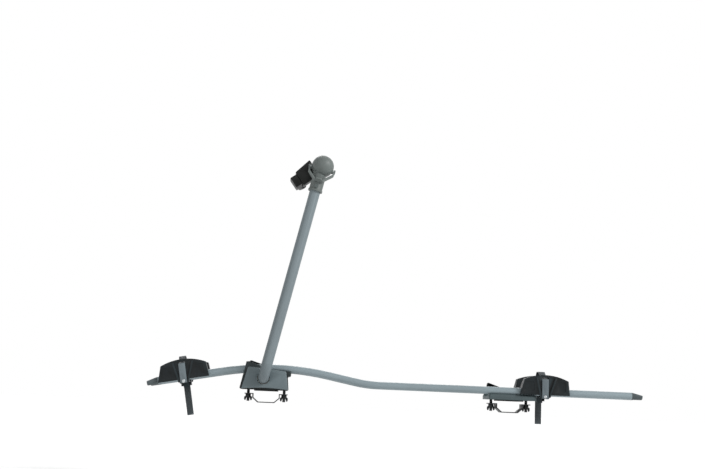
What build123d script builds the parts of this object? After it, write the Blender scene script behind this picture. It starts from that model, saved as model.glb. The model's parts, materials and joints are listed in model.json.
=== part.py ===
"""Roof mounted bike carrier, in millimetres.

The origin is the middle of the seat on the front crossbar. +X runs along the rail
towards the rear wheel, +Y away from the arm, and +Z up.
"""
from build123d import *
from math import cos, pi, radians, sin, sqrt, tan
import os

os.makedirs("parts", exist_ok=True)

# Fits and cuts that every piece shares
overrun = 1.0
running_gap = 0.05
seat_gap = 0.1
rest_gap = 0.3

# Crossbars that the carrier clamps to
bar_spacing = 685.0
bar_width = 70.0
bar_height = 28.0

# Rail tubes
rail_radius = 10.0
rail_wall = 1.5
rail_half_spacing = 40.0
rail_front_x = -298.0
rail_overhang = 341.0
rail_rear_x = bar_spacing + rail_overhang
rail_peak_x = 25.0
rail_peak_z = 77.2
rail_rise_deg = 10.7
rail_fall_deg = 10.8
crest_radius = 790.0
foot_radius = 345.0

# Rear bracket and the seat pads
pad_thickness = 3.0
pad_half_length = 33.0
pad_corner = 4.0
bracket_height = 17.0
bracket_half_length = 67.0
bracket_shift = 2.0
bracket_half_depth = 53.5
bracket_channel_half = 26.0
bracket_channel_depth = 8.0
bracket_corner = 5.0
bracket_end_round = 9.0
groove_depth = 2.0
pocket_wall = 3.5
rail_level_z = pad_thickness + bracket_height - groove_depth + rail_radius

# Base housing
base_half_depth = 54.0
base_front_x = -74.0
base_rear_x = 62.0
base_front_top_x = -62.0
base_rear_top_x = 58.0
lip_length = 9.0
lip_thickness = 12.0
saddle_drop = 8.0
housing_corner = 4.0
housing_channel_half = 28.0
housing_channel_z = 46.0
housing_pocket_top_z = 44.0
boss_radius = 9.0

# Side covers of the base
cover_depth = 12.0
far_cover_depth = 16.0
cover_wall = 2.5
cover_corner = 6.0
cover_edge = 1.5
cover_low_z = 4.0
cover_arch_rise = 4.0
cover_front_x = -68.0
cover_front_top_x = -52.0
cover_front_top_z = 65.0
cover_rear_top_x = 53.0
cover_rear_top_z = 55.0
cover_rear_x = 60.0
cover_hole_gap = 2.0
fin_front_x = -60.0
fin_top_x = -52.0
fin_top_z = 87.0

# Far cover of the rear bracket
wedge_length = 74.0
wedge_lean = 7.0
wedge_height = 52.0
wedge_slope_deg = 19.0
wedge_depth = 11.0

# Arm, its axle and the bushes that it turns in
arm_radius = 15.0
arm_wall = 1.5
arm_lean_deg = 12.6
arm_plane_y = -100.0
arm_bend_radius = 40.0
pivot_x = -8.5
bush_wall = 1.5
bush_length = 22.0
bush_flange = 3.5
bush_flange_thickness = 2.0
tunnel_wall = 1.4
tunnel_hump = 3.5
plug_length = 16.0
washer_overhang = 4.5
washer_thickness = 2.5
retainer_bolt_radius = 4.0
retainer_head_radius = 7.0
retainer_head_height = 4.5
retainer_bolt_length = 12.0

# Clamp bolts, stirrups and wing nuts
bolt_half_spacing = 50.0
bolt_radius = 4.0
bolt_head_radius = 9.0
bolt_head_height = 4.0
bolt_square = 4.2
bolt_square_length = 4.0
bolt_tail_z = -29.0
stirrup_thickness = 2.5
stirrup_half_width = 20.0
stirrup_ear_z = -7.0
stirrup_ear_end = 10.0
stirrup_ear_round = 6.0
stirrup_side_gap = 0.5
stirrup_base_drop = 2.0
stirrup_base_share = 0.62
ear_hole_gap = 0.5
nut_radius = 7.5
nut_height = 9.0
wing_span = 11.0
wing_thickness = 3.0
wing_rise = 6.0
wing_height = 12.0
wing_round = 4.0

# Screws that hold the tubes from below
tube_screw_radius = 2.5
tube_screw_head_radius = 5.0
tube_screw_head_height = 3.0
tube_screw_reach = 2.0
base_screw_front_x = -54.0
base_screw_rear_x = 48.0
bracket_screw_half = 36.0
bracket_pocket_z = 11.0

# End plugs of the tubes
plug_nose_length = 30.0
plug_tip_height = 12.0
plug_spigot_length = 18.0
plug_tip_round = 1.5

# Wheel trays
tray_front_x = -228.0
rear_tray_shift = 91.0
tray_rear_x = bar_spacing + rear_tray_shift
tray_half_length = 70.0
tray_top_front_share = 0.83
tray_top_rear_share = 0.94
tray_end_front_z = 36.0
tray_end_rear_z = 32.5
tray_crest_z = 48.0
tray_low_z = -7.5
tray_half_width = 60.0
tray_wall = 3.0
trough_floor_z = -1.0
trough_floor_half = 20.0
trough_top_half = 46.0
trough_knee_half = 27.5
trough_knee_z = 9.0
clip_low_z = -5.5
clip_thickness = 4.0
clip_mouth_half = 8.3
clip_shares = (-0.8, -0.28, 0.28, 0.8)
tongue_half = 12.0
tongue_low_z = -18.5
tongue_round = 4.0
rib_proud = 3.0
rib_width = 5.0
rib_top_front = -24.0
rib_top_rear = 30.0
rib_top_z = 40.0
rib_low = 12.0
panel_depth = 1.2
panel_border = 6.0
panel_corner = 5.0
panel_low_z = 2.0
panel_top_z = 29.0

# Wheel straps, their rivets and locks
strap_width = 18.0
strap_thickness = 2.6
strap_gap = 0.4
strap_crest_z = 57.0
strap_crest_half = 11.0
strap_bend = 7.0
strap_knee_bend = 4.0
strap_slot_z = 37.0
strap_slot_half = 4.5
strap_wall_y = -38.0
strap_start_z = -17.0
strap_drop_y = 25.0
strap_shoulder_z = 44.0
front_tail_z = -106.0
rear_tail_z = -89.0
tooth_pitch = 4.0
tooth_depth = 0.8
tooth_start_z = -26.0
rivet_radius = 2.5
rivet_head_radius = 4.5
rivet_head_height = 1.6
rivet_z = -12.5
lock_wall = 2.5
lock_half_length = 14.0
lock_low_z = -24.0
lock_near_y = 7.0
lock_pin_y = 12.5
lock_pin_z = -12.0
lock_pin_radius = 2.0
pawl_radius = 4.5
pawl_half_length = 8.0
pawl_tip_thickness = 2.6
pawl_tab_length = 17.0
pawl_tab_thickness = 2.4

# Clamp head: collar and dome
dome_height = 609.0
dome_shift = 2.5
dome_radius = 31.0
dome_wall = 3.5
collar_radius = 18.5
collar_drop = 75.0
collar_low = dome_height - collar_drop
collar_lip_height = 6.0
collar_lip_proud = 1.5
arm_top_drop = 27.0
arm_top = dome_height - arm_top_drop
arm_bolt_drop = 62.0
arm_bolt_height = dome_height - arm_bolt_drop
arm_bolt_radius = 3.0
arm_bolt_head_radius = 5.5
arm_bolt_head_height = 3.5
head_boss_radius = 16.0
boss_wall = 2.5

# Clamp head: lever, pin, cam and shoe
lever_drop = 8.0
lever_height = dome_height - lever_drop
lever_front = -33.0
lever_rear = 38.0
lever_front_knee = 19.0
lever_rear_knee = 15.0
lever_base_front = -10.0
lever_base_rear = 12.0
lever_base = 45.0
lever_draw_in = 1.5
lever_bend = 6.0
lever_band = 4.5
lever_depth = 8.0
lever_tilt_deg = 32.0
lever_lip_depth = 5.0
lever_lip_border = 2.0
lever_ear_radius = 6.5
lever_boss_radius = 6.0
lever_gap = 1.2
pin_radius = 3.0
pin_proud = 0.6
cam_radius = 8.0
cam_offset = 1.5
cam_half = 4.0
cam_at = -13.0
cam_gap = 1.0
shoe_radius = 3.5

# Clamp head: jaws
grip_radius = 20.0
grip_pad = 4.0
grip_back = 40.2
grip_drop = 27.8
tube_slope_deg = 54.3
claw_thickness = 9.0
claw_half_width = 16.0
claw_sweep_deg = 66.0
guide_near_y = -71.0
guide_far_y = -36.0
guide_front = -31.0
guide_rear = 22.5
guide_top_front = -30.0
guide_top_rear = -21.5
guide_low_front = 20.0
guide_low_rear = 22.5
guide_corner = 3.0
guide_tail = -66.0
guide_tail_half = 16.0
bar_half = 9.0
bar_near_y = -62.0
bar_far_y = -50.0
bar_tail = -63.0
claw_root_front = 23.5
claw_root_rear = 43.0
claw_root_near_y = -67.0
claw_root_corner = 4.0
serration_pitch = 4.0
serration_depth = 1.0
guide_screw_radius = 2.0
guide_screw_head_radius = 4.0
guide_screw_head_height = 2.5
guide_screw_t = 12.5
guide_screw_depth = 14.0
guide_screw_places = (-50.0, -38.0)

standing = (Align.CENTER, Align.CENTER, Align.MIN)
from_corner = (Align.MIN, Align.MIN, Align.MIN)


# Shapes that many pieces use

def block(x_low, x_high, y_low, y_high, z_low, z_high):
    """A box between two corners."""
    size = Box(x_high - x_low, y_high - y_low, z_high - z_low, align=from_corner)
    return Pos(x_low, y_low, z_low) * size


def post(radius, low, high):
    """A round bar along Z."""
    return Pos(0, 0, low) * Cylinder(radius, high - low, align=standing)


def spindle(radius, low, high):
    """A round bar along Y."""
    return Pos(0, low, 0) * Rot(-90, 0, 0) * Cylinder(radius, high - low, align=standing)


def shaft(radius, low, high):
    """A round bar along X."""
    return Pos(low, 0, 0) * Rot(0, 90, 0) * Cylinder(radius, high - low, align=standing)


def outline(points, corner=0.0):
    """A face with rounded corners, its points given across and up."""
    if corner == 0:
        return make_face(Polyline(*points, close=True))
    return make_face(FilletPolyline(*points, radius=corner, close=True))


def side_plate(face, y_low, y_high):
    """A face drawn in X and Z, given a thickness along Y."""
    return extrude(Plane.XZ.offset(-y_high) * face, amount=y_high - y_low)


def end_plate(face, x_low, x_high):
    """A face drawn in Y and Z, given a length along X."""
    return extrude(Plane.YZ.offset(x_low) * face, amount=x_high - x_low)


def both_sides(piece):
    """A piece and its mirror image across the middle of the rail."""
    return piece + mirror(piece, about=Plane.XZ)


def group(solids):
    """Separate solids that share one node."""
    return Compound(children=[solid.solid() for solid in solids])


# Rail tubes: a hump over the front base, then level over the rear crossbar

rise = radians(rail_rise_deg)
fall = radians(rail_fall_deg)
foot_x = rail_peak_x + (rail_peak_z - rail_level_z) / tan(fall)


def front_slope_z(x):
    """Height of the tubes' centre lines on the straight front slope."""
    return rail_peak_z - (rail_peak_x - x) * tan(rise)


def crest_z(x):
    """Height of the tubes' centre lines on the round crest over the base."""
    half_turn = (rise + fall) / 2
    lean = (rise - fall) / 2
    drop = crest_radius / cos(half_turn)
    centre_x = rail_peak_x + drop * sin(lean)
    centre_z = rail_peak_z - drop * cos(lean)
    return centre_z + sqrt(crest_radius ** 2 - (x - centre_x) ** 2)


def rail_bar(radius, side):
    """A solid bar along one tube's centre line."""
    y = side * rail_half_spacing
    front = Vector(rail_front_x, y, front_slope_z(rail_front_x))
    peak = Vector(rail_peak_x, y, rail_peak_z)
    foot = Vector(foot_x, y, rail_level_z)
    rear = Vector(rail_rear_x, y, rail_level_z)
    path = FilletPolyline(front, peak, foot, rear, radius=(crest_radius, foot_radius))
    return sweep(Plane(origin=front, z_dir=peak - front) * Circle(radius), path=path)


def tube_screw(x, side, head_top_z, tube_z):
    """A pan head screw from below into the wall of one tube."""
    wall_top = tube_z - rail_radius + rail_wall
    screw = post(tube_screw_radius, head_top_z, wall_top + tube_screw_reach)
    screw += post(tube_screw_head_radius, head_top_z - tube_screw_head_height, head_top_z)
    return Pos(x, side * rail_half_spacing, 0) * screw


bracket_x = bar_spacing + bracket_shift
base_screw_xs = (base_screw_front_x, base_screw_rear_x)
bracket_screw_xs = (bracket_x - bracket_screw_half, bracket_x + bracket_screw_half)
screw_hole = tube_screw_radius + seat_gap


def rail_tube(side):
    """One bent steel tube with the holes for its four screws."""
    tube = rail_bar(rail_radius, side) - rail_bar(rail_radius - rail_wall, side)
    places = [(x, crest_z(x)) for x in base_screw_xs]
    places += [(x, rail_level_z) for x in bracket_screw_xs]
    for x, z in places:
        hole = post(screw_hole, z - rail_radius - overrun, z - rail_radius / 2)
        tube -= Pos(x, side * rail_half_spacing, 0) * hole
    return tube


def end_plug():
    """A plug that fills a tube's end, with a nose that slants down from its top, towards +X."""
    nose = shaft(rail_radius, 0, plug_nose_length)
    rim = nose.edges().filter_by(GeomType.CIRCLE).sort_by(Axis.X)[-1]
    nose = chamfer(rim, plug_tip_round)
    top = outline([
        (0, rail_radius),
        (plug_nose_length, plug_tip_height - rail_radius),
        (plug_nose_length + overrun, plug_tip_height - rail_radius),
        (plug_nose_length + overrun, rail_radius + overrun),
        (0, rail_radius + overrun),
    ])
    nose -= side_plate(top, -rail_radius - overrun, rail_radius + overrun)
    return nose + shaft(rail_radius - rail_wall, -plug_spigot_length, 0)


def end_plugs():
    """The four plugs, each at its place."""
    front = Pos(rail_front_x, 0, front_slope_z(rail_front_x)) * Rot(0, -rail_rise_deg, 0)
    front_plug = front * mirror(end_plug(), about=Plane.YZ)
    rear_plug = Pos(rail_rear_x, 0, rail_level_z) * end_plug()
    placed = {}
    for side, name in ((-1, "near"), (1, "far")):
        shift = Pos(0, side * rail_half_spacing, 0)
        placed[f"front_plug_{name}"] = shift * front_plug
        placed[f"rear_plug_{name}"] = shift * rear_plug
    return placed


# Clamps: bolts through the carrier, a stirrup under the crossbar and wing nuts

ear_low_z = stirrup_ear_z - stirrup_thickness


def carriage_bolt(head_low_z):
    """A round headed bolt with a square neck."""
    bolt = post(bolt_radius, bolt_tail_z, head_low_z)
    neck = block(-bolt_square, bolt_square, -bolt_square, bolt_square,
                 head_low_z - bolt_square_length, head_low_z)
    head = post(bolt_head_radius, head_low_z, head_low_z + bolt_head_height)
    rim = head.edges().filter_by(GeomType.CIRCLE).sort_by(Axis.Z)[-1]
    return bolt + neck + fillet(rim, bolt_head_height * 3 / 4)


def bolt_hole(head_low_z):
    """The cut that a clamp bolt passes through."""
    hole = post(bolt_radius + seat_gap, -overrun, head_low_z + overrun)
    half = bolt_square + seat_gap
    neck = block(-half, half, -half, half, head_low_z - bolt_square_length, head_low_z + overrun)
    head = post(bolt_head_radius + seat_gap, head_low_z, head_low_z + bolt_head_height + overrun)
    return hole + neck + head


def stirrup():
    """A bent strap with an ear at each side, under a crossbar at X = 0."""
    wall = bar_width / 2 + stirrup_side_gap
    low = -bar_height - stirrup_base_drop
    knee = (low + stirrup_ear_z) / 2
    end = bolt_half_spacing + stirrup_ear_end
    inner = [
        (-end, stirrup_ear_z), (-wall, stirrup_ear_z), (-wall, knee),
        (-wall * stirrup_base_share, low), (wall * stirrup_base_share, low),
        (wall, knee), (wall, stirrup_ear_z), (end, stirrup_ear_z),
    ]
    outer_wall = wall + stirrup_thickness
    outer_low = low - stirrup_thickness
    outer_base = wall * stirrup_base_share + stirrup_thickness / 2
    outer = [
        (end, ear_low_z), (outer_wall, ear_low_z), (outer_wall, knee - stirrup_thickness / 2),
        (outer_base, outer_low), (-outer_base, outer_low),
        (-outer_wall, knee - stirrup_thickness / 2), (-outer_wall, ear_low_z), (-end, ear_low_z),
    ]
    strap = side_plate(outline(inner + outer), -stirrup_half_width, stirrup_half_width)
    ends = strap.edges().filter_by(Axis.Z).filter_by(lambda e: abs(e.center().X) > end - overrun)
    strap = fillet(ends, stirrup_ear_round)
    for side in (-1, 1):
        hole = post(bolt_radius + ear_hole_gap, ear_low_z - overrun, stirrup_ear_z + overrun)
        strap -= Pos(side * bolt_half_spacing, 0, 0) * hole
    return strap


def wing_nut():
    """A nut with two wings, hanging below a stirrup's ear."""
    low = ear_low_z - nut_height
    nut = post(nut_radius, low, ear_low_z)
    wing = outline([
        (-wing_span, ear_low_z - wing_rise - wing_height), (-wing_span, ear_low_z - wing_rise),
        (wing_span, ear_low_z - wing_rise), (wing_span, ear_low_z - wing_rise - wing_height),
    ], wing_round)
    notch = outline([
        (-nut_radius, ear_low_z - wing_rise - wing_height - overrun),
        (nut_radius, ear_low_z - wing_rise - wing_height - overrun),
        (nut_radius / 2, low), (-nut_radius / 2, low),
    ])
    half = wing_thickness / 2
    nut += side_plate(wing, -half, half) - side_plate(notch, -half - overrun, half + overrun)
    return nut - post(bolt_radius + running_gap, bolt_tail_z - overrun, ear_low_z + overrun)


def seat_pad(half_depth):
    """A rubber pad between the carrier and a crossbar at X = 0."""
    face = outline([
        (-pad_half_length, -half_depth), (pad_half_length, -half_depth),
        (pad_half_length, half_depth), (-pad_half_length, half_depth),
    ], pad_corner)
    return extrude(face, amount=pad_thickness)


# Base housing on the front crossbar

pivot_z = crest_z(pivot_x) - rail_radius - tunnel_wall - arm_radius - running_gap - bush_wall
bush_radius = arm_radius + running_gap + bush_wall
housing_low_z = pad_thickness
lip_x = base_rear_top_x + lip_length
lip_top_z = crest_z(lip_x) - saddle_drop
base_top_front_z = crest_z(base_front_top_x)
base_bolt_head_z = housing_channel_z


def base_housing():
    """Moulded block with two tube saddles, the axle tunnel and pockets underneath."""
    profile = [
        (base_front_x, housing_low_z), (base_rear_x, housing_low_z),
        (base_rear_top_x, lip_top_z - lip_thickness), (lip_x, lip_top_z - lip_thickness),
        (lip_x, lip_top_z), (base_front_top_x, base_top_front_z),
    ]
    body = side_plate(outline(profile, housing_corner), -base_half_depth, base_half_depth)
    body -= block(base_front_x - overrun, lip_x + overrun, -housing_channel_half,
                  housing_channel_half, housing_channel_z, base_top_front_z + rail_radius)
    hump = spindle(bush_radius + tunnel_hump, -housing_channel_half, housing_channel_half)
    body += Pos(pivot_x, 0, pivot_z) * hump
    for x_low, x_high in ((base_front_x, -pad_half_length), (pad_half_length, base_rear_x)):
        for side in (-1, 1):
            y_low = boss_radius + pocket_wall
            y_high = base_half_depth - pocket_wall
            pocket = block(x_low + pocket_wall, x_high - pocket_wall, y_low, y_high,
                           -overrun, housing_pocket_top_z)
            body -= pocket if side > 0 else mirror(pocket, about=Plane.XZ)
    for side in (-1, 1):
        body -= rail_bar(rail_radius + seat_gap, side)
        for x in base_screw_xs:
            hole = post(screw_hole, housing_pocket_top_z - overrun, crest_z(x))
            body -= Pos(x, side * rail_half_spacing, 0) * hole
        body -= Pos(side * bolt_half_spacing, 0, 0) * bolt_hole(base_bolt_head_z)
    bore = spindle(bush_radius, -base_half_depth - overrun, base_half_depth + overrun)
    return body - Pos(pivot_x, 0, pivot_z) * bore


def bush():
    """Flanged plain bush at the near end of the tunnel."""
    ring = spindle(bush_radius, -base_half_depth, -base_half_depth + bush_length)
    ring += spindle(bush_radius + bush_flange, -base_half_depth - bush_flange_thickness,
                    -base_half_depth)
    ring -= spindle(arm_radius + running_gap, -base_half_depth - bush_flange_thickness - overrun,
                    -base_half_depth + bush_length + overrun)
    return Pos(pivot_x, 0, pivot_z) * ring


def cover_outline(top, inset):
    """The side view of a base cover with the given top points, drawn in by a wall."""
    middle_x = (cover_front_x + cover_rear_x) / 2
    points = [(cover_front_x, cover_low_z)] + top + [(cover_rear_x, cover_low_z)]
    moved = []
    for x, z in points:
        across = inset if x < middle_x else -inset
        moved.append((x + across, z + inset if z == cover_low_z else z - inset))
    crown = (middle_x, cover_low_z + cover_arch_rise + inset)
    sides = FilletPolyline(*moved, radius=cover_corner - inset)
    return make_face([sides.edges(), ThreePointArc(moved[-1], crown, moved[0])])


def hollow_cover(top, depth):
    """A shallow shell, open towards the housing, on the near side."""
    outer_y = -base_half_depth - depth
    shell = side_plate(cover_outline(top, 0.0), outer_y, -base_half_depth)
    rim = shell.faces().sort_by(Axis.Y)[0].edges()
    shell = chamfer(rim, cover_edge)
    hollow = cover_outline(top, cover_wall)
    return shell - side_plate(hollow, outer_y + cover_wall, -base_half_depth + overrun)


def base_near_cover():
    """Grey side cover with the hole for the arm."""
    top = [(cover_front_top_x, cover_front_top_z), (cover_rear_top_x, cover_rear_top_z)]
    shell = hollow_cover(top, cover_depth)
    hole = spindle(arm_radius + cover_hole_gap, -base_half_depth - cover_depth - overrun,
                   -base_half_depth)
    return shell - Pos(pivot_x, 0, pivot_z) * hole


def base_far_cover():
    """Dark side cover on the far side, with a raised wedge at its front end."""
    top = [(fin_front_x, cover_front_top_z), (fin_top_x, fin_top_z),
           (cover_rear_top_x, cover_rear_top_z)]
    shell = hollow_cover(top, far_cover_depth)
    return mirror(shell, about=Plane.XZ)


# Rear bracket on the rear crossbar

bracket_low_z = pad_thickness
bracket_top_z = pad_thickness + bracket_height
bracket_channel_z = bracket_top_z - bracket_channel_depth


def rear_bracket():
    """Flat moulded bracket with a groove for each tube."""
    half = bracket_half_length
    body = block(-half, half, -bracket_half_depth, bracket_half_depth,
                 bracket_low_z, bracket_top_z)
    upright = body.edges().filter_by(Axis.Z)
    body = fillet(upright, bracket_corner)
    rear_top = body.edges().filter_by(Axis.Y).sort_by(lambda e: e.center().X + e.center().Z)[-1]
    body = fillet(rear_top, bracket_end_round)
    body = Pos(bracket_x, 0, 0) * body
    body -= block(bracket_x - half - overrun, bracket_x + half + overrun, -bracket_channel_half,
                  bracket_channel_half, bracket_channel_z, bracket_top_z + overrun)
    for side in (-1, 1):
        body -= rail_bar(rail_radius + seat_gap, side)
        for x in bracket_screw_xs:
            place = Pos(x, side * rail_half_spacing, 0)
            body -= place * post(screw_hole, -overrun, bracket_top_z + overrun)
            pocket = post(tube_screw_head_radius + pocket_wall, -overrun, bracket_pocket_z)
            body -= place * pocket
        bolt_x = bar_spacing + side * bolt_half_spacing
        body -= Pos(bolt_x, 0, 0) * bolt_hole(bracket_channel_z - bolt_head_height)
    return body


def rear_far_cover():
    """Hollow wedge on the far side of the rear bracket, tallest at its front end."""
    low = bracket_low_z
    front = bracket_x - bracket_half_length + wedge_lean
    peak = front + wedge_lean
    rear = front + wedge_length
    slope = tan(radians(wedge_slope_deg))
    rear_z = wedge_height - (rear - peak) * slope
    face = outline([(front, low), (rear, low), (rear, rear_z), (peak, wedge_height)],
                   housing_corner)
    shell = side_plate(face, bracket_half_depth, bracket_half_depth + wedge_depth)
    rim = shell.faces().sort_by(Axis.Y)[-1].edges()
    shell = chamfer(rim, cover_edge)
    wall = cover_wall
    hollow = outline([
        (front + wall, low + wall), (rear - wall, low + wall),
        (rear - wall, rear_z - wall), (peak + wall, wedge_height - wall * 3 / 2),
    ])
    return shell - side_plate(hollow, bracket_half_depth - overrun,
                              bracket_half_depth + wedge_depth - wall)


# Arm: a tube whose lower end turns into its own axle

arm_at = Pos(pivot_x, 0, pivot_z) * Rot(0, arm_lean_deg, 0)
axle_end_y = base_half_depth + bush_flange_thickness + rest_gap


def arm_bar(radius, start_y, top):
    """A solid bar along the arm, from the axle's end to the top, in the arm's own frame."""
    path = FilletPolyline((0, start_y, 0), (0, arm_plane_y, 0), (0, arm_plane_y, top),
                          radius=arm_bend_radius)
    return sweep(Plane(origin=(0, start_y, 0), z_dir=(0, -1, 0)) * Circle(radius), path=path)


def arm_tube():
    """The bent tube, drilled for the bolt that holds the head."""
    tube = arm_bar(arm_radius, axle_end_y, arm_top)
    tube -= arm_bar(arm_radius - arm_wall, axle_end_y + overrun, arm_top + overrun)
    hole = spindle(arm_bolt_radius + seat_gap, arm_plane_y - arm_radius - overrun,
                   arm_plane_y + arm_radius + overrun)
    return tube - Pos(0, 0, arm_bolt_height) * hole


def axle_plug():
    """Plug in the axle's open end, which takes the retaining bolt."""
    plug = spindle(arm_radius - arm_wall, axle_end_y - plug_length, axle_end_y)
    return plug - spindle(retainer_bolt_radius + seat_gap,
                          axle_end_y - retainer_bolt_length - overrun, axle_end_y + overrun)


def axle_washer():
    """Washer that keeps the axle in its bushes."""
    washer = spindle(arm_radius + washer_overhang, axle_end_y, axle_end_y + washer_thickness)
    return washer - spindle(retainer_bolt_radius + seat_gap, axle_end_y - overrun,
                            axle_end_y + washer_thickness + overrun)


def axle_bolt():
    """Hexagon bolt through the washer into the plug."""
    head_y = axle_end_y + washer_thickness
    hexagon = Plane.XZ.offset(-head_y - retainer_head_height) * RegularPolygon(
        retainer_head_radius, 6)
    head = extrude(hexagon, amount=retainer_head_height)
    return head + spindle(retainer_bolt_radius, axle_end_y - retainer_bolt_length, head_y)


# Clamp head: two halves that close on the arm's top and make the dome

dome_at = Pos(dome_shift, arm_plane_y, dome_height)
lever_at = Pos(0, arm_plane_y, lever_height)
grip_at = Pos(dome_shift - grip_back, 0, dome_height - grip_drop) * Rot(
    0, 90 + tube_slope_deg - arm_lean_deg, 0)
ear_front = lever_front - lever_band / 2
ear_rear = lever_rear + lever_band / 2


def head_outside():
    """Dome, neck, collar, hinge boss and the seat for the guide, as one solid."""
    neck = post(collar_radius, collar_low, dome_height)
    lip = post(collar_radius + collar_lip_proud, collar_low, collar_low + collar_lip_height)
    lip = chamfer(lip.edges().sort_by(Axis.Z)[-1], collar_lip_proud / 2)
    body = Pos(0, arm_plane_y, 0) * (neck + lip) + dome_at * Sphere(dome_radius)
    body += lever_at * shaft(lever_boss_radius, lever_front + lever_band / 2 + lever_gap,
                             lever_rear - lever_band / 2 - lever_gap)
    seat = Pos(guide_screw_places[0] + head_boss_radius / 2, 0, guide_screw_t / 2)
    body += grip_at * seat * spindle(head_boss_radius, arm_plane_y, guide_near_y)
    return body - block(-dome_radius * 2, dome_radius * 2, guide_near_y, 0, collar_low,
                        dome_height + dome_radius * 2)


def head_cavity():
    """The hollow of the dome, less the bosses that stand in it."""
    room = dome_at * Sphere(dome_radius - dome_wall)
    room -= lever_at * shaft(lever_boss_radius, -dome_radius * 2, dome_radius * 2)
    room -= Pos(0, arm_plane_y, 0) * post(collar_radius, collar_low, arm_top + dome_wall)
    room -= lever_at * Pos(cam_at, 0, 0) * spindle(shoe_radius + boss_wall, 0, dome_radius * 2)
    for n in guide_screw_places:
        boss = spindle(guide_screw_radius + boss_wall, arm_plane_y, 0)
        room -= grip_at * Pos(n, 0, guide_screw_t) * boss
    return room - block(-dome_radius * 2, dome_radius * 2, guide_near_y - dome_wall, 0,
                        collar_low, dome_height + dome_radius * 2)


def head_solid():
    """The whole head before it is parted into two halves."""
    body = head_outside() - head_cavity()
    socket = post(arm_radius + seat_gap, collar_low - overrun, arm_top + seat_gap)
    body -= Pos(0, arm_plane_y, 0) * socket
    pin_hole = shaft(pin_radius + running_gap, -dome_radius * 2, dome_radius * 2)
    cam_reach = cam_half + cam_gap
    cam_room = shaft(cam_radius + cam_offset + cam_gap, cam_at - cam_reach, cam_at + cam_reach)
    shoe_hole = Pos(cam_at, 0, 0) * spindle(shoe_radius + running_gap, 0, dome_radius)
    body -= lever_at * (pin_hole + cam_room + shoe_hole)
    bolt = spindle(arm_bolt_radius + seat_gap, arm_plane_y - dome_radius,
                   arm_plane_y + dome_radius)
    body -= Pos(0, 0, arm_bolt_height) * bolt
    for n in guide_screw_places:
        hole = spindle(guide_screw_radius + seat_gap, guide_near_y - guide_screw_depth,
                       guide_near_y + overrun)
        body -= grip_at * Pos(n, 0, guide_screw_t) * hole
    return body


def head_halves():
    """The near and the far half of the head."""
    body = head_solid()
    reach = dome_radius * 3
    low = collar_low - overrun
    near_half = block(-reach, reach, arm_plane_y - reach, arm_plane_y, low, dome_height + reach)
    far_half = block(-reach, reach, arm_plane_y, arm_plane_y + reach, low, dome_height + reach)
    return body & near_half, body & far_half


def arm_bolt():
    """Bolt through the collar and the arm, with a round head on each side."""
    bolt = spindle(arm_bolt_radius, -collar_radius, collar_radius)
    head = spindle(arm_bolt_head_radius, collar_radius, collar_radius + arm_bolt_head_height)
    bolt += both_sides(head)
    return Pos(0, arm_plane_y, arm_bolt_height) * bolt


def clamp_lever():
    """Bail lever: a band that loops under the dome from one hinge ear to the other."""
    path = FilletPolyline(
        (lever_front, 0), (lever_front + lever_draw_in, -lever_front_knee),
        (lever_base_front, -lever_base), (lever_base_rear, -lever_base),
        (lever_rear - lever_draw_in, -lever_rear_knee), (lever_rear, 0), radius=lever_bend)
    half_depth = lever_depth / 2
    half_band = lever_band / 2
    lever = side_plate(trace(path, line_width=lever_band), -half_depth, half_depth)
    for x in (lever_front, lever_rear):
        lever += shaft(lever_ear_radius, x - half_band, x + half_band)
    lip = block(lever_base_front + lever_lip_border, lever_base_rear - lever_lip_border,
                -half_depth - lever_lip_depth, half_depth, -lever_base - half_band,
                -lever_base + half_band)
    corners = lip.edges().filter_by(Axis.Z).sort_by(Axis.Y)[:2]
    lever += fillet(corners, lever_lip_depth * 4 / 5)
    lever -= shaft(pin_radius, ear_front - overrun, ear_rear + overrun)
    return lever_at * Rot(-lever_tilt_deg, 0, 0) * lever


def lever_pin():
    """Pin through the dome, with the cam that presses the shoe."""
    pin = shaft(pin_radius, ear_front - pin_proud, ear_rear + pin_proud)
    cam = shaft(cam_radius, cam_at - cam_half, cam_at + cam_half)
    return lever_at * (pin + Pos(0, cam_offset, 0) * cam)


def clamp_shoe():
    """Plunger between the cam and the outer claw's bar."""
    start_y = arm_plane_y + cam_offset + cam_radius + rest_gap
    end_y = bar_near_y - rest_gap
    return Pos(cam_at, 0, lever_height) * spindle(shoe_radius, start_y, end_y)


# Clamp head: jaws, drawn in the frame of the gripped tube, which runs along Z there

claw_inner = grip_radius + grip_pad
claw_outer = claw_inner + claw_thickness


def ring_sector(inner, outer, start_deg, sweep_deg, half_width):
    """Part of a thick ring round Z, from one angle through a sweep."""
    middle = (inner + outer) / 2
    arc = CenterArc((0, 0), middle, start_deg, sweep_deg)
    first = Line(arc @ 0 * (inner / middle), arc @ 0 * (outer / middle))
    outer_arc = CenterArc((0, 0), outer, start_deg, sweep_deg)
    last = Line(arc @ 1 * (outer / middle), arc @ 1 * (inner / middle))
    inner_arc = CenterArc((0, 0), inner, start_deg, sweep_deg)
    face = make_face([first, outer_arc, last, inner_arc])
    return extrude(Plane.XY.offset(-half_width) * face, amount=2 * half_width)


def claw(side):
    """A curved claw on the side of the tube that is towards +X or -X."""
    start = -claw_sweep_deg if side > 0 else 180 - claw_sweep_deg
    return ring_sector(claw_inner, claw_outer, start, 2 * claw_sweep_deg, claw_half_width)


def claw_pad(side):
    """The rubber lining of a claw."""
    start = -claw_sweep_deg if side > 0 else 180 - claw_sweep_deg
    return ring_sector(grip_radius, claw_inner, start, 2 * claw_sweep_deg, claw_half_width)


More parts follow.
